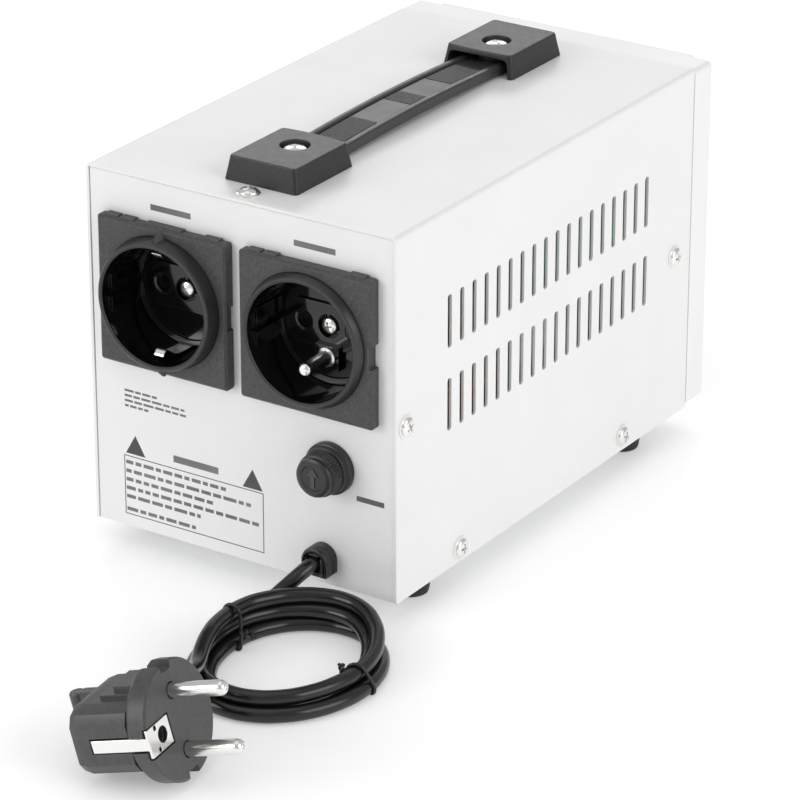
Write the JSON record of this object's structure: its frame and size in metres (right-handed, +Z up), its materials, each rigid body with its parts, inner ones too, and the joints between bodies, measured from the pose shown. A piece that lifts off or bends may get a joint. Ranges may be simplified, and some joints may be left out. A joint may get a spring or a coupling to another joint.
{
  "type": "variac autotransformer",
  "caption": "White steel bench voltage stabiliser with a motor-driven toroidal variac, two black mains sockets, fuse holder, strap handle and coiled earthed mains lead.",
  "frame": {"origin": "on the floor under the middle of the case, the free cord left out", "axes": "+Z up, +Y out of the socket panel, -Y out of the meter bezel, +X to the left as seen from the socket side"},
  "size_m": [0.142, 0.3406, 0.1407],
  "materials": {
    "white_powder_coat": "fine-textured white powder coat",
    "zinc_steel": "zinc-plated steel",
    "white_plastic": "satin moulded plastic",
    "black_plastic": "textured black moulding",
    "dial_card": "printed card",
    "clear_glass": "clear",
    "needle_red": "painted",
    "red_plastic": "glossy red",
    "green_plastic": "glossy green",
    "socket_black": "fine-grained plate, polished recess",
    "bright_nickel": "bright nickel plate",
    "black_rubber": "matt black rubber",
    "core_steel": "strip-wound transformer steel",
    "copper_wire": "enamelled copper",
    "natural_nylon": "natural nylon",
    "graphite": "dull graphite",
    "board_laminate": "phenolic laminate",
    "cord_vinyl": "semi-matt black sheath"
  },
  "bodies": {
    "case": {"top_cover": "white_powder_coat", "base_pan": "zinc_steel", "rear_panel": "white_powder_coat", "front_bezel": "white_plastic", "meter_case": "black_plastic", "meter_dial": "dial_card", "meter_window": "clear_glass", "power_switch_body": "black_plastic", "lamp_normal": "green_plastic", "lamp_fault": "red_plastic", "left_socket": "socket_black", "left_socket_screw": "bright_nickel", "left_socket_earth_clip_top": "bright_nickel", "left_socket_earth_clip_bottom": "bright_nickel", "right_socket": "socket_black", "right_socket_screw": "bright_nickel", "right_socket_earth_pin": "bright_nickel", "fuse_holder_body": "black_plastic", "fuse_holder_nut": "black_plastic", "cord_bushing": "black_plastic", "handle_cap_front": "black_plastic", "handle_screw_front": "bright_nickel", "handle_cap_rear": "black_plastic", "handle_screw_rear": "bright_nickel", "foot_rear_left": "black_rubber", "foot_front_left": "black_rubber", "foot_rear_right": "black_rubber", "foot_front_right": "black_rubber", "case_screw_top": "bright_nickel", "variac_core": "core_steel", "variac_winding": "copper_wire", "variac_bearing_post": "natural_nylon", "servo_bracket": "zinc_steel", "servo_motor": "zinc_steel", "control_board": "board_laminate", "cord_lead_out": "cord_vinyl", "cord_plug_lead": "cord_vinyl", "cord_coil": "cord_vinyl", "plug_body": "black_rubber", "plug_pin_upper": "bright_nickel", "plug_pin_lower": "bright_nickel", "plug_earth_contact": "bright_nickel", "case_screw_right_upper_rear": "bright_nickel", "case_screw_right_lower_rear": "bright_nickel", "case_screw_right_lower_front": "bright_nickel", "case_screw_right_upper_front": "bright_nickel", "case_screw_left_upper_rear": "bright_nickel", "case_screw_left_lower_rear": "bright_nickel", "case_screw_left_lower_front": "bright_nickel", "case_screw_left_upper_front": "bright_nickel"},
    "brush_carriage": {"brush_arm": "zinc_steel", "carbon_brush": "graphite", "driven_gear": "natural_nylon"},
    "pinion": {"servo_pinion": "natural_nylon"},
    "needle": {"meter_needle": "needle_red"},
    "rocker": {"power_rocker": "red_plastic"},
    "button": {"delay_button": "black_plastic"},
    "fuse": {"glass_fuse": "clear_glass"},
    "fuse_knob": {"fuse_cap": "black_plastic"},
    "strap": {"handle_strap": "black_rubber"}
  },
  "joints": [
    {"name": "brush_sweep", "type": "hinge", "parent": "case", "child": "brush_carriage", "pos_m": [0, 0.01, 0.063], "axis": [0, 0, 1], "range_deg": [-150, 150]},
    {"name": "pinion_spin", "type": "hinge", "parent": "case", "child": "pinion", "pos_m": [0.024, 0.01, 0.068], "axis": [0, 0, 1], "range_deg": [-450, 450]},
    {"name": "needle_swing", "type": "hinge", "parent": "case", "child": "needle", "pos_m": [0, -0.0985, 0.083], "axis": [0, 1, 0], "range_deg": [0, 90], "stiffness_Nm_per_rad": 0.002},
    {"name": "rocker_tilt", "type": "hinge", "parent": "case", "child": "rocker", "pos_m": [-0.026, -0.0978, 0.036], "axis": [1, 0, 0], "range_deg": [-20, 0]},
    {"name": "delay_press", "type": "slide", "parent": "case", "child": "button", "axis": [0, 1, 0], "range_m": [0, 0.003], "stiffness_N_per_m": 300},
    {"name": "fuse_pull", "type": "slide", "parent": "case", "child": "fuse", "axis": [0, 1, 0], "range_m": [0, 0.03]},
    {"name": "fuse_knob_turn", "type": "hinge", "parent": "fuse", "child": "fuse_knob", "pos_m": [-0.0343, 0.1014, 0.0495], "axis": [0, 1, 0], "range_deg": [0, 90]},
    {"name": "strap_lift", "type": "slide", "parent": "case", "child": "strap", "axis": [0, 0, 1], "range_m": [0, 0.0019]}
  ],
  "couplings": [
    {"joint": "pinion_spin", "follows": "brush_sweep", "ratio": -3}
  ]
}
